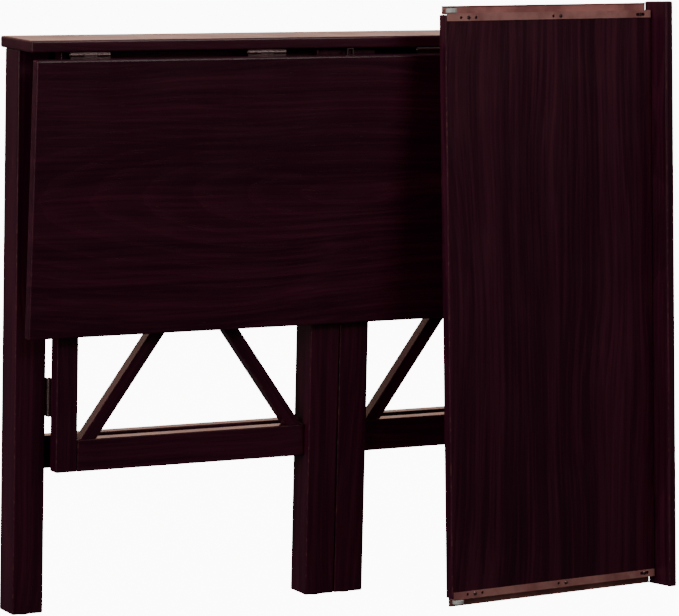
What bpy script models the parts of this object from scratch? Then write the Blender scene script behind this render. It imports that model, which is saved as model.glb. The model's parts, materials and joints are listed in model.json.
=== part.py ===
"""Fold-away gate-leg desk with its drop leaf hanging and its keyboard tray stood on end beside it.

Metres, +Z up. The desk is laid out from three planes: x = 0 is the left end of the top board,
y = 0 is the front edge of the top board with +y towards the wall, and z = 0 is the floor.
The last step moves the whole assembly so that the middle of its footprint is the origin.
"""

import math

import bmesh
import bpy
from mathutils import Matrix, Vector

# Fit between pieces
FIT_GAP = 0.0003

# Top board
DESK_WIDTH = 0.914
DESK_HEIGHT = 0.750
BOARD_THICK = 0.015
BOARD_ROUND = 0.0025

# Posts, gate legs and rear rails
POST_SIZE = 0.043
POST_END_INSET = 0.005
POST_BACK_INSET = 0.005
POST_ROUND = 0.002
GLIDE_RADIUS = 0.012
GLIDE_THICK = 0.0025
RAIL_THICK = 0.020
RAIL_ROUND = 0.0015
STRETCHER_BOTTOM = 0.191
STRETCHER_HEIGHT = 0.043
APRON_HEIGHT = 0.090

# Gates
GATE_LEG_SETBACK = 0.014
GATE_LEG_TO_APRON = 0.0065
GATE_LEG_SEAM = 0.001
STILE_WIDTH = 0.030
GATE_BOTTOM = 0.191
GATE_BOTTOM_RAIL_HEIGHT = 0.042
GATE_TOP_RAIL_HEIGHT = 0.084
BRACE_WIDTH = 0.018
BRACE_THICK = 0.018
BRACE_END_INSET = 0.016
BRACE_ROUND = 0.001

# The board is as deep as the gate leg, the apron and the post behind each other need
APRON_BACK_INSET = POST_BACK_INSET + (POST_SIZE - RAIL_THICK) / 2.0
BOARD_DEPTH = GATE_LEG_SETBACK + POST_SIZE + GATE_LEG_TO_APRON + RAIL_THICK + APRON_BACK_INSET

# Butt hinges
PLATE_THICK = 0.0012
KNUCKLE_RADIUS = 0.003
PIN_CLEARANCE = 0.0003
HINGE_PLATE_REACH = 0.024
LEAF_HINGE_LENGTH = 0.055
LEAF_HINGE_PLACES = (0.0875, 0.3625, 0.6375, 0.9125)
GATE_HINGE_LENGTH = 0.050
GATE_LOWER_HINGE_HEIGHT = 0.287
GATE_UPPER_HINGE_DROP = 0.1332

# Drop leaf
LEAF_REACH = 0.361
LEAF_TOP_DROP = 0.0045
LEAF_PIN_Y = 0.0
LEAF_LEG_GAP = 0.0006

# Gate leg stop under the middle of the board
STOP_WIDTH = 0.0094
STOP_DROP = 0.014
STOP_DEPTH = 0.006
STOP_FRONT = 0.003

# Runners
SHEET_THICK = 0.0012
GATE_RUNNER_HEIGHT = 0.020
GATE_RUNNER_FLANGE = 0.010
GATE_RUNNER_RISE = 0.006
RUNNER_END_GAP = 0.002

# Keyboard tray
TRAY_LENGTH = 0.797
TRAY_DEPTH = 0.352
TRAY_PANEL_THICK = 0.015
TRAY_END_ALLOWANCE = 0.0135
FASCIA_THICK = 0.0125
FASCIA_DROP = 0.032
TRAY_FLANGE_WIDTH = 0.0085
TRAY_RAIL_WIDTH = 0.010
TRAY_RAIL_LIP = 0.0034
TRAY_RAIL_SET = 0.0036
ROLLER_RADIUS = 0.0075
ROLLER_WIDTH = 0.006
ROLLER_BORE = 0.0024
ROLLER_SET_X = 0.011
ROLLER_SET_Y = 0.0125
AXLE_RADIUS = 0.0020
AXLE_HEAD_RADIUS = 0.0036

# Where the loose tray stands, and how it leans
TRAY_STAND_X = 0.5570
TRAY_STAND_Y = -0.1140
TRAY_TURN = math.radians(4.9)
TRAY_LEAN = math.radians(3.9)

FINISHES = {
    "espresso_wood": ((0.035, 0.010, 0.012, 1.0), 0.0, 0.35),
    "hinge_steel": ((0.62, 0.60, 0.58, 1.0), 1.0, 0.30),
    "runner_paint": ((0.32, 0.20, 0.18, 1.0), 0.0, 0.45),
    "roller_nylon": ((0.80, 0.78, 0.74, 1.0), 0.0, 0.45),
    "glide_plastic": ((0.02, 0.02, 0.02, 1.0), 0.0, 0.60),
}

X_AXIS = Vector((1.0, 0.0, 0.0))
Y_AXIS = Vector((0.0, 1.0, 0.0))
Z_AXIS = Vector((0.0, 0.0, 1.0))


def clear_scene():
    """Remove every object of the start-up scene."""
    for old in list(bpy.data.objects):
        bpy.data.objects.remove(old, do_unlink=True)


def make_materials():
    """Create one Principled material for each finish."""
    made = {}
    for slot, (colour, metallic, roughness) in FINISHES.items():
        material = bpy.data.materials.new(slot)
        material.use_nodes = True
        shader = material.node_tree.nodes["Principled BSDF"]
        shader.inputs["Base Color"].default_value = colour
        shader.inputs["Metallic"].default_value = metallic
        shader.inputs["Roughness"].default_value = roughness
        made[slot] = material
    return made


def facing(first, second):
    """Rotation that turns local x onto `first` and local y onto `second`."""
    third = first.cross(second)
    return Matrix((first, second, third)).transposed().to_euler()


def empty(name, location, parent=None):
    """Add an empty that carries other pieces."""
    carrier = bpy.data.objects.new(name, None)
    carrier.location = location
    carrier.parent = parent
    bpy.context.scene.collection.objects.link(carrier)
    return carrier


def add_part(name, bm, slot, parent, location, rotation=None, smooth=False):
    """Turn a closed bmesh into a named object with its material and its place."""
    bmesh.ops.recalc_face_normals(bm, faces=bm.faces)
    mesh = bpy.data.meshes.new(name)
    bm.to_mesh(mesh)
    bm.free()
    mesh.materials.append(MATERIALS[slot])
    if smooth:
        mesh.shade_smooth()
        mesh.set_sharp_from_angle(angle=math.radians(35.0))
    part = bpy.data.objects.new(name, mesh)
    part.parent = parent
    part.location = location
    if rotation is not None:
        part.rotation_euler = rotation
    bpy.context.scene.collection.objects.link(part)
    return part


def add_block(name, low, high, rounding, slot, parent):
    """Add a box between two corners with all its edges rounded over."""
    low = Vector(low)
    high = Vector(high)
    size = high - low
    bm = bmesh.new()
    bmesh.ops.create_cube(bm, size=1.0)
    bmesh.ops.scale(bm, vec=size, verts=bm.verts)
    bmesh.ops.bevel(bm, geom=bm.edges[:], offset=rounding, segments=3, profile=0.5, affect="EDGES")
    return add_part(name, bm, slot, parent, (low + high) / 2.0, smooth=True)


def add_prism(name, outline, length, slot, parent, location, rotation):
    """Add a flat outline in local x and y pushed out along local z, centred on its place."""
    bm = bmesh.new()
    near = [bm.verts.new((x, y, -length / 2.0)) for x, y in outline]
    far = [bm.verts.new((x, y, length / 2.0)) for x, y in outline]
    bm.faces.new(near)
    bm.faces.new(far)
    count = len(outline)
    for i in range(count):
        j = (i + 1) % count
        bm.faces.new((near[i], near[j], far[j], far[i]))
    return add_part(name, bm, slot, parent, location, rotation)


def bent_sheet(points, thickness):
    """Outline of a sheet of one thickness bent at right angles along a middle line."""
    half = thickness / 2.0
    line = [Vector(point) for point in points]
    left = []
    right = []
    for i, point in enumerate(line):
        before = (point - line[i - 1]).normalized() if i > 0 else None
        after = (line[i + 1] - point).normalized() if i < len(line) - 1 else None
        sides = [Vector((-way.y, way.x)) for way in (before, after) if way is not None]
        offset = sum(sides, Vector((0.0, 0.0))) * half
        left.append(point + offset)
        right.append(point - offset)
    return [tuple(p) for p in left + right[::-1]]


def add_turned(name, profile, slot, parent, location, rotation=None, segments=48, closed=False):
    """Add a piece turned about local z from (radius, height) points.

    A closed profile makes a ring with a bore; an open one is capped where it starts and ends.
    """
    bm = bmesh.new()
    rings = []
    for radius, height in profile:
        ring = []
        for k in range(segments):
            angle = 2.0 * math.pi * k / segments
            ring.append(bm.verts.new((radius * math.cos(angle), radius * math.sin(angle), height)))
        rings.append(ring)
    pairs = list(zip(rings, rings[1:]))
    if closed:
        pairs.append((rings[-1], rings[0]))
    else:
        bm.faces.new(rings[0])
        bm.faces.new(rings[-1])
    for lower, upper in pairs:
        for k in range(segments):
            n = (k + 1) % segments
            bm.faces.new((lower[k], lower[n], upper[n], upper[k]))
    return add_part(name, bm, slot, parent, location, rotation, smooth=True)


def add_hinge_plate(name, length, knuckles, parent, location, rotation):
    """Add one plate of a butt hinge with its rolled knuckles.

    The pin runs along local z through the origin, the plate reaches along local x, and its
    outer face is level with the far side of the knuckle in local y.
    """
    outer = KNUCKLE_RADIUS
    bore = KNUCKLE_RADIUS - PLATE_THICK
    start = math.sqrt(outer * outer - bore * bore) + FIT_GAP
    roll = [(start, outer, start, bore)]
    steps = 20
    for k in range(steps + 1):
        angle = math.radians(90.0 + 295.0 * k / steps)
        cosine = math.cos(angle)
        sine = math.sin(angle)
        roll.append((outer * cosine, outer * sine, bore * cosine, bore * sine))
    cuts = sorted({-length / 2.0, length / 2.0, *[end for span in knuckles for end in span]})
    bm = bmesh.new()
    tips = []
    rolls = []
    for z in cuts:
        tips.append((bm.verts.new((HINGE_PLATE_REACH, outer, z)), bm.verts.new((HINGE_PLATE_REACH, bore, z))))
        at_knuckle = any(abs(z - end) < 1e-9 for span in knuckles for end in span)
        wanted = roll if at_knuckle else roll[:1]
        rolls.append([(bm.verts.new((a, b, z)), bm.verts.new((c, d, z))) for a, b, c, d in wanted])
    has_knuckle = []
    for low, high in zip(cuts, cuts[1:]):
        middle = (low + high) / 2.0
        has_knuckle.append(any(span[0] < middle < span[1] for span in knuckles))
    for i, rolled in enumerate(has_knuckle):
        j = i + 1
        bm.faces.new((tips[i][0], tips[j][0], tips[j][1], tips[i][1]))
        bm.faces.new((tips[i][0], rolls[i][0][0], rolls[j][0][0], tips[j][0]))
        bm.faces.new((tips[i][1], rolls[i][0][1], rolls[j][0][1], tips[j][1]))
        last = len(roll) - 1 if rolled else 0
        for k in range(last):
            for side in (0, 1):
                bm.faces.new((rolls[i][k][side], rolls[i][k + 1][side], rolls[j][k + 1][side], rolls[j][k][side]))
        bm.faces.new((rolls[i][last][0], rolls[j][last][0], rolls[j][last][1], rolls[i][last][1]))
    for i in range(len(cuts)):
        if i in (0, len(cuts) - 1):
            bm.faces.new((tips[i][0], rolls[i][0][0], rolls[i][0][1], tips[i][1]))
        rolled_below = i > 0 and has_knuckle[i - 1]
        rolled_above = i < len(has_knuckle) and has_knuckle[i]
        if rolled_below != rolled_above:
            for k in range(len(roll) - 1):
                here = rolls[i][k]
                there = rolls[i][k + 1]
                bm.faces.new((here[0], there[0], there[1], here[1]))
    return add_part(name, bm, "hinge_steel", parent, location, rotation, smooth=True)


def add_hinge(name, length, fixed_parent, moving_parent, pin, fixed_facing, moving_facing):
    """Add a butt hinge: outer knuckles on the fixed plate, the middle one on the moving plate."""
    inner = length / 6.0
    fixed_spans = [(-length / 2.0, -inner - FIT_GAP / 2.0), (inner + FIT_GAP / 2.0, length / 2.0)]
    moving_spans = [(-inner + FIT_GAP / 2.0, inner - FIT_GAP / 2.0)]
    moving_place = moving_parent.matrix_basis.inverted() @ Vector(pin)
    add_hinge_plate(name + "_fixed_plate", length, fixed_spans, fixed_parent, pin, fixed_facing)
    add_hinge_plate(name + "_moving_plate", length, moving_spans, moving_parent, moving_place, moving_facing)
    radius = KNUCKLE_RADIUS - PLATE_THICK - PIN_CLEARANCE
    half = length / 2.0 + 0.0008
    profile = [(radius * 0.7, -half), (radius, -half + 0.0005), (radius, half - 0.0005), (radius * 0.7, half)]
    along = Matrix(fixed_facing.to_matrix()).col[2]
    side = Y_AXIS if abs(along.y) < 0.5 else X_AXIS
    pin_facing = facing(side, along.cross(side))
    add_turned(name + "_pin", profile, "hinge_steel", fixed_parent, pin, pin_facing, segments=24)


def add_lapped_brace(name, run, rise, leans_right, notch_in_front, parent, location):
    """Add one diagonal brace with level ends and a half-lap notch at its middle."""
    slope = run / rise
    sine = rise / math.hypot(run, rise)
    half_width = BRACE_WIDTH / sine / 2.0
    half_notch = (BRACE_WIDTH + 2.0 * FIT_GAP) / sine / 2.0
    sign = 1.0 if leans_right else -1.0
    front = -1.0 if notch_in_front else 1.0
    face = front * BRACE_THICK / 2.0
    floor = -front * FIT_GAP / 2.0

    def corner(off, shoulder):
        """Point where one side of this brace meets one side of the other."""
        height = (shoulder - off) / (2.0 * slope)
        return sign * (shoulder + off) / 2.0, height

    bm = bmesh.new()
    sides = []
    for off in (-half_width, half_width):
        foot = (sign * (off - run / 2.0), -rise / 2.0)
        head = (sign * (off + run / 2.0), rise / 2.0)
        low = corner(off, -half_notch)
        high = corner(off, half_notch)
        path = [(foot, face), (low, face), (low, floor), (high, floor), (high, face), (head, face)]
        path += [(head, -face), (foot, -face)]
        sides.append([bm.verts.new((x, y, z)) for (x, z), y in path])
    bm.faces.new(sides[0])
    bm.faces.new(sides[1])
    count = len(sides[0])
    for i in range(count):
        j = (i + 1) % count
        bm.faces.new((sides[0][i], sides[0][j], sides[1][j], sides[1][i]))
    long_edges = [e for e in bm.edges if e.calc_length() > rise * 0.4 and abs(e.verts[0].co.y) > BRACE_THICK * 0.4]
    bmesh.ops.bevel(bm, geom=long_edges, offset=BRACE_ROUND, segments=2, profile=0.5, affect="EDGES")
    return add_part(name, bm, "espresso_wood", parent, location, smooth=True)


def build_top(root):
    """Top board, posts, rear rails, glides and the stop that the gate legs close against."""
    underside = DESK_HEIGHT - BOARD_THICK
    wood = "espresso_wood"
    add_block("top_board", (0.0, 0.0, underside), (DESK_WIDTH, BOARD_DEPTH, DESK_HEIGHT), BOARD_ROUND, wood, root)
    post_back = BOARD_DEPTH - POST_BACK_INSET
    post_front = post_back - POST_SIZE
    foot = GLIDE_THICK + FIT_GAP
    lefts = {"left_post": POST_END_INSET, "right_post": DESK_WIDTH - POST_END_INSET - POST_SIZE}
    for name, left in lefts.items():
        high = (left + POST_SIZE, post_back, underside - FIT_GAP)
        add_block(name, (left, post_front, foot), high, POST_ROUND, wood, root)
        add_glide(name + "_glide", (left + POST_SIZE / 2.0, post_front + POST_SIZE / 2.0), root)
    rail_front = post_front + (POST_SIZE - RAIL_THICK) / 2.0
    rail_back = rail_front + RAIL_THICK
    rail_left = POST_END_INSET + POST_SIZE + FIT_GAP
    rail_right = DESK_WIDTH - rail_left
    spans = {
        "rear_stretcher": (STRETCHER_BOTTOM, STRETCHER_BOTTOM + STRETCHER_HEIGHT),
        "rear_apron": (underside - FIT_GAP - APRON_HEIGHT, underside - FIT_GAP),
    }
    for name, (bottom, top) in spans.items():
        add_block(name, (rail_left, rail_front, bottom), (rail_right, rail_back, top), RAIL_ROUND, wood, root)
    half = (STOP_WIDTH - SHEET_THICK) / 2.0
    outline = bent_sheet([(-half, -STOP_DROP), (-half, 0.0), (half, 0.0), (half, -STOP_DROP)], SHEET_THICK)
    place = (DESK_WIDTH / 2.0, STOP_FRONT + STOP_DEPTH / 2.0, underside - FIT_GAP - SHEET_THICK / 2.0)
    add_prism("gate_leg_stop", outline, STOP_DEPTH, "hinge_steel", root, place, facing(X_AXIS, Z_AXIS))


def add_glide(name, middle, parent):
    """Add a round plastic glide under a post or a leg."""
    edge = GLIDE_THICK * 0.3
    profile = [
        (GLIDE_RADIUS - edge, 0.0),
        (GLIDE_RADIUS, edge),
        (GLIDE_RADIUS, GLIDE_THICK - edge),
        (GLIDE_RADIUS - edge, GLIDE_THICK),
    ]
    add_turned(name, profile, "glide_plastic", parent, (middle[0], middle[1], 0.0))


def build_gate(root, label, sign):
    """One gate: stile, rails, crossed braces, leg, tray runner and its two hinges.

    `sign` is +1 for the gate hinged at the left post and -1 for the one at the right post.
    """
    wood = "espresso_wood"
    underside = DESK_HEIGHT - BOARD_THICK
    top = underside - 2.0 * FIT_GAP - PLATE_THICK
    post_inner = POST_END_INSET + POST_SIZE
    pin_run = post_inner + FIT_GAP + KNUCKLE_RADIUS
    frame_front = GATE_LEG_SETBACK + (POST_SIZE - RAIL_THICK) / 2.0
    frame_back = frame_front + RAIL_THICK
    pin_y = frame_back + FIT_GAP + KNUCKLE_RADIUS
    pin_x = pin_run if sign > 0 else DESK_WIDTH - pin_run
    carrier = empty(label + "_gate_axis", (pin_x, pin_y, 0.0), root)

    def piece(name, near, far, front, back, bottom, head, rounding):
        """Box placed by its distances from the pin along the closed gate."""
        ends = sorted((sign * near, sign * far))
        low = (ends[0], front - pin_y, bottom)
        high = (ends[1], back - pin_y, head)
        return add_block(label + name, low, high, rounding, wood, carrier)

    stile_near = FIT_GAP + 0.0004
    stile_far = stile_near + STILE_WIDTH
    leg_far = DESK_WIDTH / 2.0 - GATE_LEG_SEAM / 2.0 - pin_run
    leg_near = leg_far - POST_SIZE
    rail_near = stile_far + FIT_GAP
    rail_far = leg_near - FIT_GAP
    low_rail_top = GATE_BOTTOM + GATE_BOTTOM_RAIL_HEIGHT
    high_rail_bottom = top - GATE_TOP_RAIL_HEIGHT
    piece("_gate_stile", stile_near, stile_far, frame_front, frame_back, GATE_BOTTOM, top, POST_ROUND)
    piece("_gate_bottom_rail", rail_near, rail_far, frame_front, frame_back, GATE_BOTTOM, low_rail_top, RAIL_ROUND)
    piece("_gate_top_rail", rail_near, rail_far, frame_front, frame_back, high_rail_bottom, top, RAIL_ROUND)
    leg_foot = GLIDE_THICK + FIT_GAP
    leg_back = GATE_LEG_SETBACK + POST_SIZE
    piece("_gate_leg", leg_near, leg_far, GATE_LEG_SETBACK, leg_back, leg_foot, top, POST_ROUND)
    leg_middle_y = GATE_LEG_SETBACK + POST_SIZE / 2.0 - pin_y
    add_glide(label + "_gate_leg_glide", (sign * (leg_near + leg_far) / 2.0, leg_middle_y), carrier)

    rise = high_rail_bottom - low_rail_top - 2.0 * FIT_GAP
    run = rail_far - rail_near - 2.0 * BRACE_END_INSET
    middle_run = sign * (rail_near + rail_far) / 2.0
    middle_y = (frame_front + frame_back) / 2.0 - pin_y
    middle = (middle_run, middle_y, (low_rail_top + high_rail_bottom) / 2.0)
    add_lapped_brace(label + "_gate_brace_rising", run, rise, sign > 0, True, carrier, middle)
    add_lapped_brace(label + "_gate_brace_falling", run, rise, sign < 0, False, carrier, middle)

    web = FIT_GAP + SHEET_THICK / 2.0
    reach = web + GATE_RUNNER_FLANGE
    height = GATE_RUNNER_HEIGHT - SHEET_THICK
    outline = bent_sheet([(reach, 0.0), (web, 0.0), (web, height), (reach, height)], SHEET_THICK)
    length = rail_far - rail_near - 2.0 * RUNNER_END_GAP
    runner_place = (middle_run, frame_back - pin_y, high_rail_bottom + GATE_RUNNER_RISE)
    add_prism(label + "_gate_runner", outline, length, "runner_paint", carrier, runner_place, facing(Y_AXIS, Z_AXIS))

    hinge_heights = {"lower": GATE_LOWER_HINGE_HEIGHT, "upper": top - GATE_UPPER_HINGE_DROP}
    for word, height in hinge_heights.items():
        fixed_facing = facing(Y_AXIS, -X_AXIS * sign)
        moving_facing = facing(X_AXIS * sign, -Y_AXIS)
        pin = (pin_x, pin_y, height)
        name = f"{label}_gate_hinge_{word}"
        add_hinge(name, GATE_HINGE_LENGTH, root, carrier, pin, fixed_facing, moving_facing)


def build_leaf(root):
    """Drop leaf and its four hinges, hanging so that it just clears the gate legs."""
    underside = DESK_HEIGHT - BOARD_THICK
    pin_z = underside - FIT_GAP - KNUCKLE_RADIUS
    back = KNUCKLE_RADIUS + FIT_GAP
    allowed = GATE_LEG_SETBACK - LEAF_LEG_GAP - LEAF_PIN_Y
    lean = math.asin(allowed / math.hypot(LEAF_REACH, back)) + math.atan2(back, LEAF_REACH)
    carrier = empty("leaf_axis", (DESK_WIDTH / 2.0, LEAF_PIN_Y, pin_z), root)
    carrier.rotation_euler = (lean, 0.0, 0.0)
    low = (-DESK_WIDTH / 2.0, -back - BOARD_THICK, -LEAF_REACH)
    high = (DESK_WIDTH / 2.0, -back, -LEAF_TOP_DROP)
    add_block("drop_leaf", low, high, BOARD_ROUND, "espresso_wood", carrier)
    for number, place in enumerate(LEAF_HINGE_PLACES, start=1):
        pin = (DESK_WIDTH * place, LEAF_PIN_Y, pin_z)
        fixed_facing = facing(Y_AXIS, Z_AXIS)
        moving_facing = facing(-Z_AXIS, -Y_AXIS)
        name = f"leaf_hinge_{number}"
        add_hinge(name, LEAF_HINGE_LENGTH, root, carrier, pin, fixed_facing, moving_facing)


def build_tray(root):
    """Keyboard tray off its runners: local x runs from its rear edge to its fascia, local z is its length."""
    carrier = empty("tray_axis", (TRAY_STAND_X, TRAY_STAND_Y, 0.0), root)
    turned = Matrix.Rotation(TRAY_TURN, 3, "Z") @ Matrix.Rotation(-TRAY_LEAN, 3, "X")
    carrier.rotation_euler = turned.to_euler()
    wood = "espresso_wood"
    panel_front = TRAY_DEPTH - FASCIA_THICK - FIT_GAP
    low_end = TRAY_END_ALLOWANCE
    high_end = TRAY_LENGTH - TRAY_END_ALLOWANCE
    low = (0.0, -TRAY_PANEL_THICK, low_end)
    add_block("tray_panel", low, (panel_front, 0.0, high_end), RAIL_ROUND, wood, carrier)
    low = (TRAY_DEPTH - FASCIA_THICK, -TRAY_PANEL_THICK - FASCIA_DROP, 0.0)
    add_block("tray_fascia", low, (TRAY_DEPTH, 0.0, TRAY_LENGTH), BOARD_ROUND, wood, carrier)

    half = SHEET_THICK / 2.0
    under = -TRAY_PANEL_THICK - FIT_GAP - half
    web = FIT_GAP + half
    rail = web + TRAY_RAIL_WIDTH
    line = [
        (under, -TRAY_FLANGE_WIDTH),
        (under, web),
        (-TRAY_RAIL_SET, web),
        (-TRAY_RAIL_SET, rail),
        (-TRAY_RAIL_SET - TRAY_RAIL_LIP, rail),
    ]
    length = panel_front - 2.0 * RUNNER_END_GAP
    roller_start = web + half + 0.0006
    roller_end = roller_start + ROLLER_WIDTH
    axle_start = web + half + FIT_GAP
    head_start = roller_end + FIT_GAP
    for label, end, sign in (("lower", low_end, -1.0), ("upper", high_end, 1.0)):
        outline = [(y, sign * z) for y, z in bent_sheet(line, SHEET_THICK)]
        place = (RUNNER_END_GAP + length / 2.0, 0.0, end)
        add_prism(f"tray_{label}_runner", outline, length, "runner_paint", carrier, place, facing(Y_AXIS, Z_AXIS))
        centre = (ROLLER_SET_X, -ROLLER_SET_Y, end)
        edge = ROLLER_WIDTH * 0.15
        ring = [
            (ROLLER_BORE, roller_start),
            (ROLLER_RADIUS - edge, roller_start),
            (ROLLER_RADIUS, roller_start + edge),
            (ROLLER_RADIUS, roller_end - edge),
            (ROLLER_RADIUS - edge, roller_end),
            (ROLLER_BORE, roller_end),
        ]
        ring = [(radius, sign * height) for radius, height in ring]
        add_turned(f"tray_{label}_roller", ring, "roller_nylon", carrier, centre, closed=True)
        stem = [
            (AXLE_RADIUS, axle_start),
            (AXLE_RADIUS, head_start),
            (AXLE_HEAD_RADIUS, head_start),
            (AXLE_HEAD_RADIUS, head_start + 0.0006),
            (AXLE_HEAD_RADIUS - 0.0005, head_start + 0.0010),
        ]
        stem = [(radius, sign * height) for radius, height in stem]
        add_turned(f"tray_{label}_axle", stem, "hinge_steel", carrier, centre, segments=32)


def centre_footprint(root):
    """Move the whole assembly so that the middle of its footprint is the origin."""
    bpy.context.view_layer.update()
    lows = [math.inf, math.inf]
    highs = [-math.inf, -math.inf]
    for part in bpy.data.objects:
        if part.type != "MESH":
            continue
        for vertex in part.data.vertices:
            point = part.matrix_world @ vertex.co
            for k in (0, 1):
                lows[k] = min(lows[k], point[k])
                highs[k] = max(highs[k], point[k])
    root.location = (-(lows[0] + highs[0]) / 2.0, -(lows[1] + highs[1]) / 2.0, 0.0)


def main():
    """Build the desk and its tray and centre them."""
    root = empty("desk_origin", (0.0, 0.0, 0.0))
    build_top(root)
    build_gate(root, "left", 1.0)
    build_gate(root, "right", -1.0)
    build_leaf(root)
    build_tray(root)
    centre_footprint(root)


clear_scene()
MATERIALS = make_materials()
main()
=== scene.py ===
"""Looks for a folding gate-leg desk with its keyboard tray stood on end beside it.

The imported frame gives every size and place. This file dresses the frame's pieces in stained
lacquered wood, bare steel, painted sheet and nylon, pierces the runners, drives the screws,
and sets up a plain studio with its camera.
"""

import json
import logging
import math
from collections.abc import Iterable
from dataclasses import dataclass, field, replace
from enum import Enum

import bmesh
import bpy
from mathutils import Euler, Matrix, Vector

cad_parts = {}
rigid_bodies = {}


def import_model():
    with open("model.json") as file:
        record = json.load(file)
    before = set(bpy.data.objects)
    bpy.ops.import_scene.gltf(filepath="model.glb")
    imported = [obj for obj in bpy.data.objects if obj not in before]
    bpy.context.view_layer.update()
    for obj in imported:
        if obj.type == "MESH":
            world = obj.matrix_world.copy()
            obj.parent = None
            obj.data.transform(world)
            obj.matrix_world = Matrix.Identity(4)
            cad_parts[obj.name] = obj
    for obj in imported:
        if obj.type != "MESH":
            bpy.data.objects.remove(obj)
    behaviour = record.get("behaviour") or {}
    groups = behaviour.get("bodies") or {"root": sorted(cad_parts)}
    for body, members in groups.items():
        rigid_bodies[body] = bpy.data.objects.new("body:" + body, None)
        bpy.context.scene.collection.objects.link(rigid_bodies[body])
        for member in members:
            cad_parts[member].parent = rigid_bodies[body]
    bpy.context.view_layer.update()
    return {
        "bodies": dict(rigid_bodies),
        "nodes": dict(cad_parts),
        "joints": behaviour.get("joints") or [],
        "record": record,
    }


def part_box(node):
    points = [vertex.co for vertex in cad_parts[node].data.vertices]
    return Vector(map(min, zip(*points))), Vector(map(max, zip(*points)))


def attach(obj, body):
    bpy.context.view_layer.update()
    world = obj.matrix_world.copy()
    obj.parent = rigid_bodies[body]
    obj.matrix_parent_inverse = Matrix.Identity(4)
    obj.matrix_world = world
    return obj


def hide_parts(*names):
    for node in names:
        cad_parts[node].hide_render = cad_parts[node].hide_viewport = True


LOG = logging.getLogger("gate_leg_desk")

Triple = tuple[float, float, float]
Colour = tuple[float, float, float, float]

TRAY_TURN = math.radians(4.9)
TRAY_LEAN = math.radians(3.9)


def tray_stand() -> Matrix:
    """Turn of the tray from lying square to standing as it does."""
    return Matrix.Rotation(TRAY_TURN, 3, "Z") @ Matrix.Rotation(-TRAY_LEAN, 3, "X")


class Grain(Enum):
    """Which way the wood fibres run in a piece."""

    LEVEL = "level"
    UPRIGHT = "upright"
    RISING = "rising"
    FALLING = "falling"
    TRAY_LENGTH = "tray_length"


class Drive(Enum):
    """Kinds of screw head."""

    COUNTERSUNK = "countersunk"
    PAN = "pan"


@dataclass(frozen=True)
class Signal:
    """A node output that can be used in Python expressions."""

    bench: "Bench"
    socket: bpy.types.NodeSocket

    def combine(
        self,
        operation: str,
        other: "Signal | float | None" = None,
        swapped: bool = False,
    ) -> "Signal":
        """Feed this signal and another value through one Math node.

        Args:
            operation: Blender's name of the Math operation.
            other: the second value, or None for a one-value operation.
            swapped: True where the other value comes first.

        Returns:
            The Math node's output.
        """
        values = [self] if other is None else [self, other]
        if swapped:
            values.reverse()
        return self.bench.node("ShaderNodeMath", {"operation": operation}, dict(enumerate(values)))

    def __add__(self, other: "Signal | float") -> "Signal":
        """Sum of two values."""
        return self.combine("ADD", other)

    __radd__ = __add__

    def __mul__(self, other: "Signal | float") -> "Signal":
        """Product of two values."""
        return self.combine("MULTIPLY", other)

    __rmul__ = __mul__

    def __sub__(self, other: "Signal | float") -> "Signal":
        """This value less another."""
        return self.combine("SUBTRACT", other)

    def __rsub__(self, other: "Signal | float") -> "Signal":
        """Another value less this one."""
        return self.combine("SUBTRACT", other, swapped=True)

    def __abs__(self) -> "Signal":
        """Size of this value without its sign."""
        return self.combine("ABSOLUTE")

    def least(self, other: "Signal | float") -> "Signal":
        """The smaller of two values."""
        return self.combine("MINIMUM", other)

    def most(self, other: "Signal | float") -> "Signal":
        """The larger of two values."""
        return self.combine("MAXIMUM", other)

    def between(self, low: float, high: float, start: float = 0.0, end: float = 1.0) -> "Signal":
        """Map a span of values smoothly onto another span, held at its ends.

        Args:
            low: value that maps to start.
            high: value that maps to end.
            start: result at and below low.
            end: result at and above high.

        Returns:
            The mapped value.
        """
        values = {"Value": self, "From Min": low, "From Max": high, "To Min": start, "To Max": end}
        settings = {"interpolation_type": "SMOOTHSTEP", "clamp": True}
        return self.bench.node("ShaderNodeMapRange", settings, values, output="Result")


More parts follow.
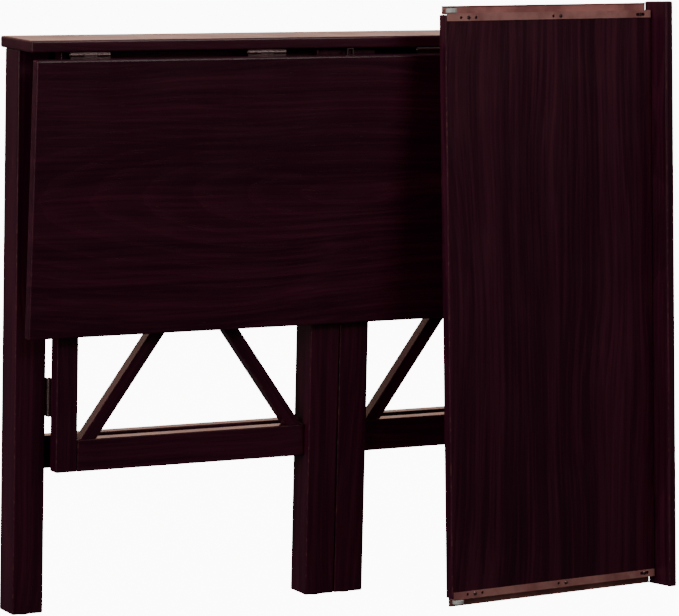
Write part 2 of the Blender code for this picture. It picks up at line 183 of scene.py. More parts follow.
class Bench:
    """One material's node tree, with short ways to add to it."""

    def __init__(self, name: str, slot: str) -> None:
        """Start a material.

        Args:
            name: the material's name.
            slot: the record's slot that it dresses.
        """
        self.material = bpy.data.materials.new(name)
        self.material.use_nodes = True
        self.slot = slot
        self.tree = self.material.node_tree
        self.shader = self.tree.nodes["Principled BSDF"]

    def node(
        self,
        kind: str,
        settings: dict[str, object] | None = None,
        values: dict[str | int, object] | None = None,
        output: str | int = 0,
    ) -> Signal:
        """Add any node.

        Args:
            kind: the node's type name.
            settings: the node's own settings; a ramp's "stops" are (place, colour) pairs.
            values: socket names or numbers, each with a constant or a signal.
            output: the output to give back.

        Returns:
            The chosen output.
        """
        made = self.tree.nodes.new(kind)
        for key, value in (settings or {}).items():
            if key == "stops":
                self._set_stops(made, value)
            else:
                setattr(made, key, value)
        for key, value in (values or {}).items():
            if isinstance(value, Signal):
                self.tree.links.new(value.socket, made.inputs[key])
            else:
                made.inputs[key].default_value = value
        return Signal(self, made.outputs[output])

    @staticmethod
    def _set_stops(ramp: bpy.types.Node, stops: Iterable[tuple[float, Colour]]) -> None:
        """Give a colour ramp its stops."""
        elements = ramp.color_ramp.elements
        stops = list(stops)
        while len(elements) < len(stops):
            elements.new(0.5)
        for element, (place, colour) in zip(elements, stops):
            element.position = place
            element.color = colour

    def place(
        self,
        rotation: Triple = (0.0, 0.0, 0.0),
        scale: Triple = (1.0, 1.0, 1.0),
        shift: Triple = (0.0, 0.0, 0.0),
    ) -> Signal:
        """Object coordinates, turned, scaled and moved.

        Args:
            rotation: turn about each axis, in radians.
            scale: factor along each axis.
            shift: move after the turn, in metres.

        Returns:
            The mapped coordinates.
        """
        where = self.node("ShaderNodeTexCoord", output="Object")
        values = {"Vector": where, "Rotation": rotation, "Scale": scale, "Location": shift}
        return self.node("ShaderNodeMapping", {"vector_type": "POINT"}, values)

    def scaled(self, where: Signal, scale: Triple) -> Signal:
        """Coordinates multiplied axis by axis."""
        return self.node("ShaderNodeVectorMath", {"operation": "MULTIPLY"}, {0: where, 1: scale})

    def noise(
        self,
        where: Signal,
        scale: float,
        detail: float = 4.0,
        roughness: float = 0.55,
        twist: float = 0.0,
    ) -> Signal:
        """Value of a noise texture.

        Args:
            where: coordinates to read it at.
            scale: how many features there are per metre.
            detail: layers of finer noise.
            roughness: strength of each finer layer.
            twist: distortion.

        Returns:
            The noise, about one half on average.
        """
        values = {
            "Vector": where,
            "Scale": scale,
            "Detail": detail,
            "Roughness": roughness,
            "Distortion": twist,
        }
        return self.node("ShaderNodeTexNoise", {"noise_dimensions": "3D"}, values, output=0)

    def blend(self, share: Signal | float, first: Signal | Colour, second: Signal | Colour) -> Signal:
        """Mix two colours.

        Args:
            share: how much of the second colour there is.
            first: colour at 0.
            second: colour at 1.

        Returns:
            The mixed colour.
        """
        values = {0: share, 6: first, 7: second}
        return self.node("ShaderNodeMix", {"data_type": "RGBA", "clamp_factor": True}, values, output=2)

    def feed(self, socket: str, value: Signal | float | Colour) -> None:
        """Give one input of the surface shader a constant or a signal."""
        if isinstance(value, Signal):
            self.tree.links.new(value.socket, self.shader.inputs[socket])
        else:
            self.shader.inputs[socket].default_value = value

    def relief(self, height: Signal, distance: float, strength: float = 1.0) -> None:
        """Raise the surface by a height signal.

        Args:
            height: the relief, from 0 to 1.
            distance: its real depth in metres.
            strength: share of it that shows.
        """
        values = {"Height": height, "Distance": distance, "Strength": strength}
        self.feed("Normal", self.node("ShaderNodeBump", None, values, output="Normal"))

    def dress(self, piece: bpy.types.Object) -> None:
        """Give a piece this material and nothing else."""
        piece.data.materials.clear()
        piece.data.materials.append(self.material)


@dataclass(frozen=True)
class EspressoLacquer:
    """Dark espresso stain under satin lacquer on open-grained wood."""

    grain: Grain
    middle: Triple
    half: Triple
    seed: float
    deep: Colour = (0.0300, 0.0012, 0.0120, 1.0)
    stain: Colour = (0.0820, 0.0080, 0.0270, 1.0)
    bare: Colour = (0.2100, 0.0800, 0.0600, 1.0)
    roughness: float = 0.36
    coat: float = 0.15
    arches: float = 0.55
    streaks: float = 0.40
    wear: float = 0.35

    def turn(self, brace_angle: float) -> Euler:
        """Turn that brings a piece's fibres onto local x, its width onto z.

        Args:
            brace_angle: slope of the gate braces from level.

        Returns:
            The turn as Euler angles.
        """
        if self.grain is Grain.LEVEL:
            return Euler((0.0, 0.0, 0.0))
        if self.grain is Grain.UPRIGHT:
            return Euler((0.0, math.pi / 2.0, 0.0))
        if self.grain is Grain.RISING:
            return Euler((0.0, brace_angle, 0.0))
        if self.grain is Grain.FALLING:
            return Euler((0.0, -brace_angle, 0.0))
        stand = tray_stand()
        return (Matrix.Rotation(math.pi / 2.0, 3, "Y") @ stand.inverted()).to_euler()

    def make(self, name: str, brace_angle: float) -> Bench:
        """Build the finish for one piece.

        Args:
            name: the piece's name.
            brace_angle: slope of the gate braces from level.

        Returns:
            The bench that holds the material.
        """
        bench = Bench(f"espresso_{name}", "espresso_wood")
        turn = self.turn(brace_angle)
        middle = Vector(self.middle)
        middle.rotate(turn)
        own = bench.place(rotation=tuple(turn), shift=tuple(-middle))
        offset = (self.seed, self.seed * 0.37, self.seed * 0.61)
        lot = bench.node("ShaderNodeVectorMath", {"operation": "ADD"}, {0: own, 1: offset})

        sway = bench.noise(bench.scaled(lot, (1.2, 4.0, 4.0)), 1.0, detail=2.0)
        drift = bench.node("ShaderNodeCombineXYZ", None, {1: sway - 0.5, 2: sway - 0.5})
        bent = bench.node(
            "ShaderNodeVectorMath",
            {"operation": "MULTIPLY_ADD"},
            {0: drift, 1: (0.0, 0.06, 0.10), 2: lot},
        )
        rings = bench.node(
            "ShaderNodeTexWave",
            {"wave_type": "RINGS", "rings_direction": "Y", "wave_profile": "SAW"},
            {
                "Vector": bench.scaled(bent, (0.16, 1.0, 1.0)),
                "Scale": 26.0,
                "Distortion": 2.4,
                "Detail": 3.0,
                "Detail Scale": 1.4,
                "Detail Roughness": 0.6,
            },
            output="Fac",
        )
        fibre = bench.noise(bench.scaled(bent, (3.0, 240.0, 240.0)), 1.0, detail=5.0, roughness=0.62)
        streak = bench.noise(bench.scaled(bent, (0.9, 46.0, 46.0)), 1.0, detail=3.0, roughness=0.5)
        speck = bench.noise(bench.scaled(bent, (34.0, 1500.0, 1500.0)), 1.0, detail=2.0, roughness=0.5)
        pores = speck.between(0.60, 0.74)
        pores = pores * rings.between(0.35, 0.9, 0.35, 1.0)
        cloud = bench.noise(lot, 3.2, detail=2.0)

        late = rings.between(0.50, 1.0) * self.arches
        lines = fibre.between(0.30, 0.72) * 0.45 + streak.between(0.34, 0.70) * self.streaks
        tone = (lines + late * 0.35) * cloud.between(0.2, 0.8, 0.7, 1.15)
        colour = bench.blend(tone.between(0.05, 1.05), self.deep, self.stain)
        worn = self.edges(bench, own) * bench.noise(lot, 120.0, detail=3.0).between(0.50, 0.66) * self.wear
        colour = bench.blend(worn, colour, self.bare)
        colour = bench.blend(pores * 0.55, colour, (0.0180, 0.0010, 0.0028, 1.0))
        bench.feed("Base Color", colour)

        smear = bench.noise(lot, 14.0, detail=4.0).between(0.35, 0.75, -0.04, 0.06)
        sheen = fibre.between(0.3, 0.75, self.roughness, self.roughness + 0.08)
        bench.feed("Roughness", sheen + smear + pores * 0.12)
        bench.feed("Coat Weight", (1.0 - worn) * self.coat)
        bench.feed("Coat Roughness", 0.16)
        bench.feed("Specular IOR Level", 0.32)
        bench.feed("Specular Tint", (1.0, 0.74, 0.66, 1.0))
        bench.feed("Coat Tint", (1.0, 0.86, 0.80, 1.0))
        bench.relief(fibre * 0.30 + streak * 0.16 - pores * 0.65 + 0.5, 0.00016)
        return bench

    def edges(self, bench: Bench, own: Signal) -> Signal:
        """How near a point is to an edge of the piece, where a hand rubs the lacquer thin.

        Args:
            bench: the material being built.
            own: coordinates from the piece's middle, turned to its fibres.

        Returns:
            1 at the edges, 0 on the faces.
        """
        gaps = []
        for axis, half in enumerate(self.half):
            part = bench.node("ShaderNodeSeparateXYZ", None, {0: own}, output=axis)
            gaps.append(half - abs(part))
        low = gaps[0].least(gaps[1])
        high = gaps[0].most(gaps[1])
        second = low.most(high.least(gaps[2]))
        return second.between(0.0004, 0.0022, 1.0, 0.0)


@dataclass(frozen=True)
class BareSteel:
    """Bright plated steel with fine drawing lines."""

    colour: Colour = (0.230, 0.150, 0.145, 1.0)
    dull: Colour = (0.080, 0.045, 0.045, 1.0)
    roughness: float = 0.26

    def make(self) -> Bench:
        """Build the finish."""
        bench = Bench("bare_steel", "hinge_steel")
        where = bench.place()
        lines = bench.noise(bench.scaled(where, (180.0, 2600.0, 900.0)), 1.0, detail=3.0)
        tarnish = bench.noise(where, 240.0, detail=4.0).between(0.48, 0.72)
        bench.feed("Base Color", bench.blend(tarnish * 0.6, self.colour, self.dull))
        bench.feed("Metallic", 1.0)
        drawn = lines.between(0.3, 0.7, self.roughness, self.roughness + 0.14)
        bench.feed("Roughness", drawn + tarnish * 0.12)
        bench.relief(lines, 0.00002)
        return bench


@dataclass(frozen=True)
class RunnerPaint:
    """Brown powder coat on sheet steel, rubbed in places."""

    colour: Colour = (0.600, 0.250, 0.220, 1.0)
    shade: Colour = (0.360, 0.120, 0.110, 1.0)
    rubbed: Colour = (0.560, 0.300, 0.260, 1.0)

    def make(self) -> Bench:
        """Build the finish."""
        bench = Bench("runner_paint", "runner_paint")
        where = bench.place()
        peel = bench.noise(where, 900.0, detail=2.0)
        cloud = bench.noise(where, 22.0, detail=3.0).between(0.35, 0.7)
        scuff = bench.noise(bench.scaled(where, (60.0, 700.0, 90.0)), 1.0, detail=4.0).between(0.60, 0.70)
        colour = bench.blend(cloud, self.colour, self.shade)
        bench.feed("Base Color", bench.blend(scuff * 0.5, colour, self.rubbed))
        bench.feed("Roughness", peel.between(0.3, 0.7, 0.36, 0.48) - scuff * 0.08)
        bench.relief(peel - scuff * 0.3, 0.00004)
        return bench


@dataclass(frozen=True)
class RollerNylon:
    """Off-white moulded nylon, a little grey where it has run."""

    colour: Colour = (0.74, 0.72, 0.67, 1.0)
    grimy: Colour = (0.40, 0.37, 0.33, 1.0)

    def make(self) -> Bench:
        """Build the finish."""
        bench = Bench("roller_nylon", "roller_nylon")
        where = bench.place()
        grime = bench.noise(where, 420.0, detail=4.0).between(0.45, 0.75)
        fine = bench.noise(where, 2600.0, detail=1.0)
        bench.feed("Base Color", bench.blend(grime * 0.5, self.colour, self.grimy))
        bench.feed("Roughness", grime * 0.12 + 0.40)
        bench.relief(fine, 0.00002)
        return bench


@dataclass(frozen=True)
class GlidePlastic:
    """Black moulded plastic with a fine spark-eroded texture."""

    colour: Colour = (0.016, 0.016, 0.017, 1.0)
    dusty: Colour = (0.070, 0.066, 0.060, 1.0)

    def make(self) -> Bench:
        """Build the finish."""
        bench = Bench("glide_plastic", "glide_plastic")
        where = bench.place()
        texture = bench.noise(where, 1800.0, detail=2.0)
        dust = bench.noise(where, 160.0, detail=4.0).between(0.45, 0.75)
        bench.feed("Base Color", bench.blend(dust * 0.6, self.colour, self.dusty))
        bench.feed("Roughness", texture.between(0.3, 0.7, 0.5, 0.66))
        bench.relief(texture, 0.00005)
        return bench


@dataclass
class Workshop:
    """The finishes that several pieces share, and ways to turn a bmesh into a dressed piece."""

    steel: Bench = field(default_factory=lambda: BareSteel().make())
    paint: Bench = field(default_factory=lambda: RunnerPaint().make())
    nylon: Bench = field(default_factory=lambda: RollerNylon().make())
    plastic: Bench = field(default_factory=lambda: GlidePlastic().make())

    def finish_piece(
        self,
        name: str,
        bm: bmesh.types.BMesh,
        bench: Bench,
        body: str,
        sharp: float = 35.0,
    ) -> bpy.types.Object:
        """Turn a bmesh in world places into a piece that rides on a body.

        Args:
            name: the piece's name.
            bm: its shape, which is freed.
            bench: its finish.
            body: the body it moves with.
            sharp: angle in degrees above which an edge stays sharp.

        Returns:
            The new piece.
        """
        bmesh.ops.recalc_face_normals(bm, faces=bm.faces)
        mesh = bpy.data.meshes.new(name)
        bm.to_mesh(mesh)
        bm.free()
        mesh.shade_smooth()
        mesh.set_sharp_from_angle(angle=math.radians(sharp))
        piece = bpy.data.objects.new(name, mesh)
        bpy.context.scene.collection.objects.link(piece)
        bench.dress(piece)
        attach(piece, body)
        LOG.info("%s: %d faces, rides on %s", name, len(mesh.polygons), body)
        return piece


@dataclass
class Screw:
    """A small cross-head screw as it shows in a fitting."""

    radius: float = 0.0021
    rise: float = 0.0005
    drive: Drive = Drive.COUNTERSUNK

    def add_to(self, bm: bmesh.types.BMesh, place: Vector, way: Vector, spin: float) -> None:
        """Add one head to a bmesh.

        Args:
            bm: the bmesh that collects the heads.
            place: middle of the head's seat.
            way: direction that the head faces.
            spin: turn of its cross, in radians.
        """
        made = bmesh.ops.create_grid(bm, x_segments=5, y_segments=5, size=1.0)["verts"]
        stops = (1.0, 0.58, 0.16)
        for vert in made:
            for axis in (0, 1):
                step = round(abs(vert.co[axis]) * 5.0)
                vert.co[axis] = math.copysign(stops[(5 - step) // 2], vert.co[axis])
            if max(abs(vert.co.x), abs(vert.co.y)) > 0.9:
                vert.co = vert.co.normalized()
            flat = vert.co.length
            vert.co *= self.radius
            crown = 0.35 if self.drive is Drive.COUNTERSUNK else 0.9
            vert.co.z = self.rise * (1.0 - crown * flat * flat)
        faces = {face for vert in made for face in vert.link_faces}
        arm = self.radius * 0.57
        slim = self.radius * 0.17
        cross = []
        for face in faces:
            spot = face.calc_center_median()
            wide = max(abs(spot.x), abs(spot.y))
            narrow = min(abs(spot.x), abs(spot.y))
            if wide < arm and narrow < slim:
                cross.append(face)
        rim = [edge for face in faces for edge in face.edges if edge.is_boundary]
        sunk = bmesh.ops.extrude_face_region(bm, geom=cross)["geom"]
        floor = [item for item in sunk if isinstance(item, bmesh.types.BMVert)]
        bmesh.ops.delete(bm, geom=cross, context="FACES")
        bmesh.ops.translate(bm, verts=floor, vec=(0.0, 0.0, -self.rise * 0.8))
        bmesh.ops.scale(bm, verts=floor, vec=(0.8, 0.8, 1.0))
        skirt = bmesh.ops.extrude_edge_only(bm, edges=list(set(rim)))["geom"]
        hem = [item for item in skirt if isinstance(item, bmesh.types.BMVert)]
        for vert in hem:
            vert.co.z = -0.0001
        lip = [item for item in skirt if isinstance(item, bmesh.types.BMEdge)]
        base = bmesh.ops.contextual_create(bm, geom=lip)["faces"]
        whole = {vert for vert in made if vert.is_valid} | set(floor) | set(hem)
        for face in base:
            whole.update(face.verts)
        turn = way.to_track_quat("Z", "Y").to_matrix() @ Matrix.Rotation(spin, 3, "Z")
        bmesh.ops.transform(bm, matrix=Matrix.Translation(place) @ turn.to_4x4(), verts=list(whole))


def corner_boxes(node: str) -> tuple[Vector, Vector]:
    """Lowest and highest corners of a frame node."""
    low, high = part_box(node)
    return Vector(low), Vector(high)


def middle_of(node: str) -> Vector:
    """Middle of a frame node's box."""
    low, high = corner_boxes(node)
    return (low + high) / 2.0


def frame_object(frame: dict, node: str) -> bpy.types.Object:
    """The frame's own object for a node."""
    return frame["nodes"][node]


@dataclass
class Woodwork:
    """Every wooden piece of the desk and the tray, each with its own cut of the stained wood."""

    frame: dict
    tray_deep: Colour = (0.0300, 0.0016, 0.0125, 1.0)
    tray_stain: Colour = (0.0900, 0.0120, 0.0320, 1.0)

    def brace_angle(self) -> float:
        """Slope of a gate brace from level, read from its box."""
        low, high = corner_boxes("left_gate_brace_rising")
        span = high - low
        return math.atan2(span.z, span.x - 0.022)

    def cut(self, node: str) -> Grain:
        """Which way the fibres run in a wooden node."""
        if node == "tray_panel" or node == "tray_fascia":
            return Grain.TRAY_LENGTH
        if "brace" in node:
            rising = node.endswith("rising") == node.startswith("left")
            return Grain.RISING if rising else Grain.FALLING
        if "post" in node or "stile" in node or node.endswith("leg"):
            return Grain.UPRIGHT
        return Grain.LEVEL

    def half_sizes(self, piece: bpy.types.Object, finish_turn: Euler, middle: Vector) -> Triple:
        """Half sizes of a piece once it is turned to its fibres.

        Args:
            piece: the frame's object.
            finish_turn: turn that brings its fibres onto x.
            middle: the piece's middle.

        Returns:
            Half size along each turned axis.
        """
        turned = finish_turn.to_matrix()
        reach = [0.0, 0.0, 0.0]
        for vertex in piece.data.vertices:
            spot = turned @ (vertex.co - middle)
            for axis in range(3):
                reach[axis] = max(reach[axis], abs(spot[axis]))
        return tuple(reach)

    def tray_middle(self, piece: bpy.types.Object) -> Vector:
        """Middle of a leaning tray piece, measured square to the tray."""
        stand = tray_stand()
        flat = stand.inverted()
        spots = [flat @ vertex.co for vertex in piece.data.vertices]
        low = Vector([min(spot[axis] for spot in spots) for axis in range(3)])
        high = Vector([max(spot[axis] for spot in spots) for axis in range(3)])
        return stand @ ((low + high) / 2.0)

    def dress(self) -> None:
        """Stain and lacquer every wooden node."""
        angle = self.brace_angle()
        slots = {part["node"]: part["material_slot"] for part in self.frame["record"]["subparts"]}
        wooden = sorted(node for node, slot in slots.items() if slot == "espresso_wood")
        for number, node in enumerate(wooden):
            piece = frame_object(self.frame, node)
            grain = self.cut(node)
            leaning = grain is Grain.TRAY_LENGTH
            middle = self.tray_middle(piece) if leaning else middle_of(node)
            plain = EspressoLacquer(grain, tuple(middle), (1.0, 1.0, 1.0), number * 1.73)
            half = self.half_sizes(piece, plain.turn(angle), middle)
            finish = EspressoLacquer(grain, tuple(middle), half, number * 1.73)
            if leaning:
                finish = replace(finish, deep=self.tray_deep, stain=self.tray_stain, streaks=0.50)
            finish.make(node, angle).dress(piece)
            LOG.info("%s: fibres %s", node, grain.value)


@dataclass
class Ironwork:
    """Hinges, pins, the leg stop and the axles, with their screws."""

    frame: dict
    workshop: Workshop
    screw: Screw = field(default_factory=Screw)
    screw_setback: float = 0.0065
    screw_stagger: float = 0.006
    plate_thick: float = 0.0012

    def setback(self, share: float) -> float:
        """Distance of a screw from the plate's edge: the middle one is set further in.

        Args:
            share: how far along the plate it is.

        Returns:
            The distance in metres.
        """
        return self.screw_setback + (self.screw_stagger if share == 0.5 else 0.0)

    def dress(self) -> None:
        """Give every steel and plastic node its finish."""
        slots = {part["node"]: part["material_slot"] for part in self.frame["record"]["subparts"]}
        benches = {"hinge_steel": self.workshop.steel, "glide_plastic": self.workshop.plastic}
        for node, slot in slots.items():
            if slot in benches:
                benches[slot].dress(frame_object(self.frame, node))

    def leaf_hinge_screws(self) -> None:
        """Drive three screws through each plate of the four leaf hinges."""
        for number in (1, 2, 3, 4):
            low, high = corner_boxes(f"leaf_hinge_{number}_fixed_plate")
            places = []
            for share in (0.14, 0.5, 0.86):
                x = low.x + (high.x - low.x) * share
                places.append(Vector((x, high.y - self.setback(share), high.z - self.plate_thick)))
            self.drive(f"leaf_hinge_{number}_board_screws", places, Vector((0.0, 0.0, -1.0)), "desk")
            self.leaf_side_screws(number)

    def leaf_side_screws(self, number: int) -> None:
        """Drive the screws on the leaf side of one hinge.

        Args:
            number: which of the four hinges.
        """
        plate = frame_object(self.frame, f"leaf_hinge_{number}_moving_plate")
        leaf = frame_object(self.frame, "drop_leaf")
        low, high = corner_boxes(f"leaf_hinge_{number}_moving_plate")
        bottom = min((vertex.co for vertex in plate.data.vertices), key=lambda spot: spot.z)
        tilt = self.leaf_tilt(leaf)
        out = Vector((0.0, math.cos(tilt), math.sin(tilt)))
        up = Vector((0.0, -math.sin(tilt), math.cos(tilt)))
        lowest = [vertex.co for vertex in plate.data.vertices if vertex.co.z < bottom.z + 0.002]
        face = max(lowest, key=lambda spot: spot.dot(out))
        places = []
        for share in (0.14, 0.5, 0.86):
            x = low.x + (high.x - low.x) * share
            places.append(Vector((x, face.y, face.z)) + up * self.setback(share))
        self.drive(f"leaf_hinge_{number}_leaf_screws", places, out, "leaf")

    def leaf_tilt(self, leaf: bpy.types.Object) -> float:
        """Angle by which the hanging leaf leans in at its foot."""
        spots = [vertex.co for vertex in leaf.data.vertices]
        bottom = min(spot.z for spot in spots)
        top = max(spot.z for spot in spots)
        foot = max((spot for spot in spots if spot.z < bottom + 0.02), key=lambda spot: spot.y)
        head = max((spot for spot in spots if spot.z > top - 0.02), key=lambda spot: spot.y)
        return math.atan2(foot.y - head.y, head.z - foot.z)

    def gate_hinge_screws(self) -> None:
        """Drive three screws through each plate of the gate hinges."""
        for side, sign in (("left", 1.0), ("right", -1.0)):
            for height in ("lower", "upper"):
                name = f"{side}_gate_hinge_{height}"
                low, high = corner_boxes(f"{name}_fixed_plate")
                face_x = low.x + self.plate_thick if sign > 0 else high.x - self.plate_thick
                places = []
                for share in (0.16, 0.5, 0.84):
                    z = low.z + (high.z - low.z) * share
                    places.append(Vector((face_x, high.y - self.setback(share), z)))
                self.drive(f"{name}_post_screws", places, Vector((sign, 0.0, 0.0)), "desk")
                low, high = corner_boxes(f"{name}_moving_plate")
                places = []
                for share in (0.16, 0.5, 0.84):
                    z = low.z + (high.z - low.z) * share
                    x = high.x - self.setback(share) if sign > 0 else low.x + self.setback(share)
                    places.append(Vector((x, low.y + self.plate_thick, z)))
                self.drive(f"{name}_stile_screws", places, Vector((0.0, 1.0, 0.0)), "desk")

    def drive(self, name: str, places: list[Vector], way: Vector, body: str) -> None:
        """Set a row of screw heads as one piece.

        Args:
            name: the piece's name.
            places: seats of the heads.
            way: direction the heads face.
            body: the body they ride on.
        """
        bm = bmesh.new()
        for number, place in enumerate(places):
            self.screw.add_to(bm, place, way, 0.5 + number * 1.1)
        self.workshop.finish_piece(name, bm, self.workshop.steel, body)


@dataclass
class Runners:
    """Sheet-steel runners with their holes and slots, and the screws that hold them."""

    frame: dict
    workshop: Workshop
    hole_radius: float = 0.0021
    slot_half: float = 0.0055
    sheet: float = 0.0012
    fit_gap: float = 0.0003
    punch_sides: int = 32
    punch_reach: float = 0.0025
    flange_screw: Screw = field(default_factory=lambda: Screw(0.0026, 0.0012, Drive.PAN))
    flange_holes: tuple[float, ...] = (0.022, 0.034, 0.046, 0.172, 0.184)
    flange_slot: float = 0.318
    web_slots: tuple[float, ...] = (0.060, 0.078)

    def own_box(self, node: str, turn: Matrix) -> tuple[Vector, Vector]:
        """Box of a node measured along its own axes.

        Args:
            node: the frame node.
            turn: its turn from those axes.

        Returns:
            Lowest and highest corner along the own axes.
        """
        flat = turn.inverted()
        spots = [flat @ vertex.co for vertex in frame_object(self.frame, node).data.vertices]
        low = Vector([min(spot[axis] for spot in spots) for axis in range(3)])
        high = Vector([max(spot[axis] for spot in spots) for axis in range(3)])
        return low, high

    def add_punch(self, bm: bmesh.types.BMesh, centre: Vector, through: int, half: float) -> None:
        """Add a round-ended punch, long along x, to a bmesh.

        Args:
            bm: the bmesh of all the punches.
            centre: middle of the hole.
            through: axis that the punch goes along, 1 or 2.
            half: half the straight length of a slot, 0 for a hole.
        """
        across = 3 - through
        rings = []
        for reach in (-self.punch_reach, self.punch_reach):
            ring = []
            for step in range(self.punch_sides):
                angle = math.tau * (step + 0.5) / self.punch_sides
                spot = centre.copy()
                spot.x += self.hole_radius * math.cos(angle) + math.copysign(half, math.cos(angle))
                spot[across] += self.hole_radius * math.sin(angle)
                spot[through] += reach
                ring.append(bm.verts.new(spot))
            rings.append(ring)
        first, second = rings
        bm.faces.new(first)
        bm.faces.new(second)
        for here in range(self.punch_sides):
            after = (here + 1) % self.punch_sides
            bm.faces.new((first[here], first[after], second[after], second[here]))

    def pierce(self, node: str, punches: bmesh.types.BMesh, turn: Matrix, body: str) -> None:
        """Cut the punches out of a copy of a runner and let it stand for the node.

        Args:
            node: the frame node.
            punches: cutters along the runner's own axes, freed here.
            turn: the runner's turn.
            body: the body it rides on.
        """
        bmesh.ops.recalc_face_normals(punches, faces=punches.faces)
        bmesh.ops.transform(punches, matrix=turn.to_4x4(), verts=punches.verts)
        tool_mesh = bpy.data.meshes.new("punch")
        punches.to_mesh(tool_mesh)
        punches.free()
        tool = bpy.data.objects.new("punch", tool_mesh)
        blank = bmesh.new()
        blank.from_mesh(frame_object(self.frame, node).data)
        bmesh.ops.remove_doubles(blank, verts=blank.verts, dist=0.00002)
        mesh = bpy.data.meshes.new("blank")
        blank.to_mesh(mesh)
        blank.free()
        sheet = bpy.data.objects.new("blank", mesh)
        for item in (tool, sheet):
            bpy.context.scene.collection.objects.link(item)
        cut = sheet.modifiers.new("punched", "BOOLEAN")
        cut.operation = "DIFFERENCE"
        cut.solver = "EXACT"
        cut.object = tool
        bpy.context.view_layer.update()
        solid = sheet.evaluated_get(bpy.context.evaluated_depsgraph_get())
        done = bmesh.new()
        done.from_mesh(solid.to_mesh())
        solid.to_mesh_clear()
        for item in (tool, sheet):
            bpy.data.objects.remove(item, do_unlink=True)
        for leftover in (tool_mesh, mesh):
            bpy.data.meshes.remove(leftover)
        piece = self.workshop.finish_piece(f"{node}_pierced", done, self.workshop.paint, body)
        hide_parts(node)

    def build_tray_runners(self) -> None:
        """Pierce the tray's two runners and screw them on."""
        turn = tray_stand()
        for end, sign in (("lower", -1.0), ("upper", 1.0)):
            node = f"tray_{end}_runner"
            low, high = self.own_box(node, turn)
            panel_low, panel_high = self.own_box("tray_panel", turn)
            end_line = panel_low.z if sign < 0 else panel_high.z
            inner_edge = high.z if sign < 0 else low.z
            flange_middle = (end_line + inner_edge) / 2.0
            web_line = end_line + sign * (self.fit_gap + self.sheet / 2.0)
            punches = bmesh.new()
            for along in self.flange_holes:
                hole_middle = Vector((low.x + along, low.y + self.sheet / 2.0, flange_middle))
                self.add_punch(punches, hole_middle, 1, 0.0)
            slot_middle = Vector((low.x + self.flange_slot, low.y + self.sheet / 2.0, flange_middle))
            self.add_punch(punches, slot_middle, 1, self.slot_half)
            web_middle = (panel_low.y + panel_high.y) / 2.0
            for along in self.web_slots:
                slot_place = Vector((low.x + along, web_middle, web_line))
                self.add_punch(punches, slot_place, 2, self.slot_half * 0.6)
            self.pierce(node, punches, turn, "tray")
            heads = bmesh.new()
            seats = (self.flange_holes[1], self.flange_holes[4], self.flange_slot)
            for number, along in enumerate(seats):
                place = turn @ Vector((low.x + along, low.y, flange_middle))
                self.flange_screw.add_to(heads, place, turn @ Vector((0.0, -1.0, 0.0)), 0.4 + number)
            self.workshop.finish_piece(f"{node}_screws", heads, self.workshop.steel, "tray")

    def build_gate_runners(self) -> None:
        """Pierce the channels on the backs of the gates and screw them on."""
        for side in ("left", "right"):
            node = f"{side}_gate_runner"
            low, high = corner_boxes(node)
            level = (low.z + high.z) / 2.0
            length = high.x - low.x
            punches = bmesh.new()
            heads = bmesh.new()
            for number, share in enumerate((0.06, 0.10, 0.35, 0.50, 0.65, 0.90, 0.94)):
                centre = Vector((low.x + length * share, low.y + self.sheet / 2.0, level))
                self.add_punch(punches, centre, 1, self.slot_half * 0.5 if number % 3 == 2 else 0.0)
                if number in (0, 3, 6):
                    seat = centre + Vector((0.0, self.sheet / 2.0, 0.0))
                    self.flange_screw.add_to(heads, seat, Vector((0.0, 1.0, 0.0)), 0.3 + number)
            self.pierce(node, punches, Matrix.Identity(3), "desk")
            self.workshop.finish_piece(f"{node}_screws", heads, self.workshop.steel, "desk")


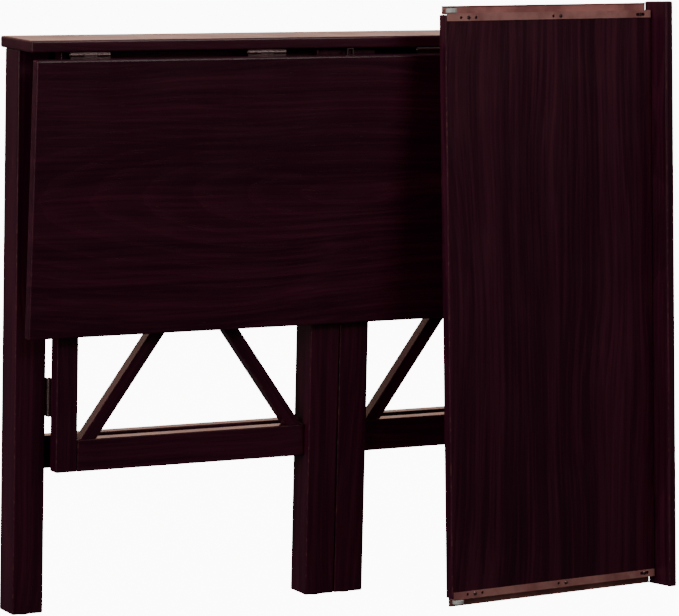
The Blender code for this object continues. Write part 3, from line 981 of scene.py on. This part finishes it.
@dataclass
class Studio:
    """Pale floor, soft light and the camera."""

    eye: Triple = (-2.36120, -4.29053, 1.08513)
    heading: float = 28.64
    pitch: float = -8.05
    roll: float = 1.35
    lens: float = 198.65
    floor_reach: float = 60.0
    floor_glow: float = 11.0
    ambient: float = 0.05
    backdrop: float = 11.0
    surround: Colour = (1.0, 1.0, 1.0, 1.0)

    def lay_floor(self) -> None:
        """Lay the pale floor."""
        bm = bmesh.new()
        bmesh.ops.create_grid(bm, x_segments=2, y_segments=2, size=self.floor_reach)
        mesh = bpy.data.meshes.new("studio_floor")
        bm.to_mesh(mesh)
        bm.free()
        floor = bpy.data.objects.new("studio_floor", mesh)
        bpy.context.scene.collection.objects.link(floor)
        floor.visible_glossy = False
        floor.visible_diffuse = False
        bench = Bench("studio_floor", "espresso_wood")
        bench.feed("Base Color", (0.92, 0.92, 0.92, 1.0))
        bench.feed("Roughness", 0.9)
        bench.feed("Specular IOR Level", 0.0)
        bench.feed("Emission Color", self.surround)
        bench.feed("Emission Strength", self.floor_glow)
        bench.dress(floor)

    def light(self) -> None:
        """Hang the soft lights and set the pale surround."""
        self.add_light("left_window", (-3.4, -1.0, 1.6), (0.0, 0.0, 0.45), (2.2, 2.4), 62.0)
        self.add_light("front_fill", (1.4, -4.6, 2.6), (0.1, 0.0, 0.6), (2.6, 1.4), 7.5)
        self.add_light("top_bank", (0.0, 0.2, 3.2), (0.0, 0.0, 0.6), (2.4, 1.6), 16.0)
        self.add_light("rear_bank", (1.6, 4.0, 1.6), (0.0, 0.0, 0.8), (8.0, 1.9), 85.0, (1.0, 0.60, 0.48))
        self.add_light("tray_glow", (0.7, -1.7, 1.5), (0.25, -0.1, 0.75), (0.7, 0.4), 6.5)
        world = bpy.data.worlds.new("studio_surround")
        bpy.context.scene.world = world
        world.use_nodes = True
        tree = world.node_tree
        back = tree.nodes["Background"]
        seen = tree.nodes.new("ShaderNodeLightPath")
        level = tree.nodes.new("ShaderNodeMapRange")
        tree.links.new(seen.outputs["Is Camera Ray"], level.inputs["Value"])
        level.inputs["To Min"].default_value = self.ambient
        level.inputs["To Max"].default_value = self.backdrop
        tree.links.new(level.outputs["Result"], back.inputs["Strength"])
        back.inputs["Color"].default_value = self.surround

    def add_light(
        self,
        name: str,
        place: Triple,
        target: Triple,
        size: tuple[float, float],
        power: float,
        tint: Triple = (1.0, 1.0, 1.0),
    ) -> None:
        """Hang one soft rectangular light.

        Args:
            name: the light's name.
            place: where it hangs.
            target: the point it faces.
            size: its width and height.
            power: its strength in watts.
            tint: its colour.
        """
        lamp = bpy.data.lights.new(name, "AREA")
        lamp.shape = "RECTANGLE"
        lamp.size = size[0]
        lamp.size_y = size[1]
        lamp.energy = power
        lamp.color = tint
        holder = bpy.data.objects.new(name, lamp)
        holder.location = place
        holder.visible_camera = False
        holder.rotation_euler = (Vector(target) - Vector(place)).to_track_quat("-Z", "Y").to_euler()
        bpy.context.scene.collection.objects.link(holder)

    def place_camera(self) -> None:
        """Stand the camera in front and to the left of the desk."""
        lens = bpy.data.cameras.new("camera")
        lens.lens = self.lens
        lens.sensor_width = 36.0
        lens.clip_end = 60.0
        camera = bpy.data.objects.new("camera", lens)
        level = Matrix.Rotation(math.radians(90.0 + self.pitch), 4, "X")
        tilt = Matrix.Rotation(math.radians(self.roll), 4, "Z")
        swing = Matrix.Rotation(math.radians(-self.heading), 4, "Z")
        camera.matrix_world = Matrix.Translation(self.eye) @ swing @ level @ tilt
        bpy.context.scene.collection.objects.link(camera)
        bpy.context.scene.camera = camera


def main() -> None:
    """Load the frame, build and dress every sub-assembly."""
    logging.basicConfig(level=logging.INFO, format="%(name)s: %(message)s")
    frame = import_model()
    studio = Studio()
    studio.place_camera()
    studio.lay_floor()
    studio.light()
    workshop = Workshop()
    Woodwork(frame).dress()
    ironwork = Ironwork(frame, workshop)
    ironwork.dress()
    ironwork.leaf_hinge_screws()
    ironwork.gate_hinge_screws()
    runners = Runners(frame, workshop)
    runners.build_tray_runners()
    runners.build_gate_runners()
    for node in ("tray_lower_roller", "tray_upper_roller"):
        workshop.nylon.dress(frame_object(frame, node))


if __name__ == "__main__":
    main()
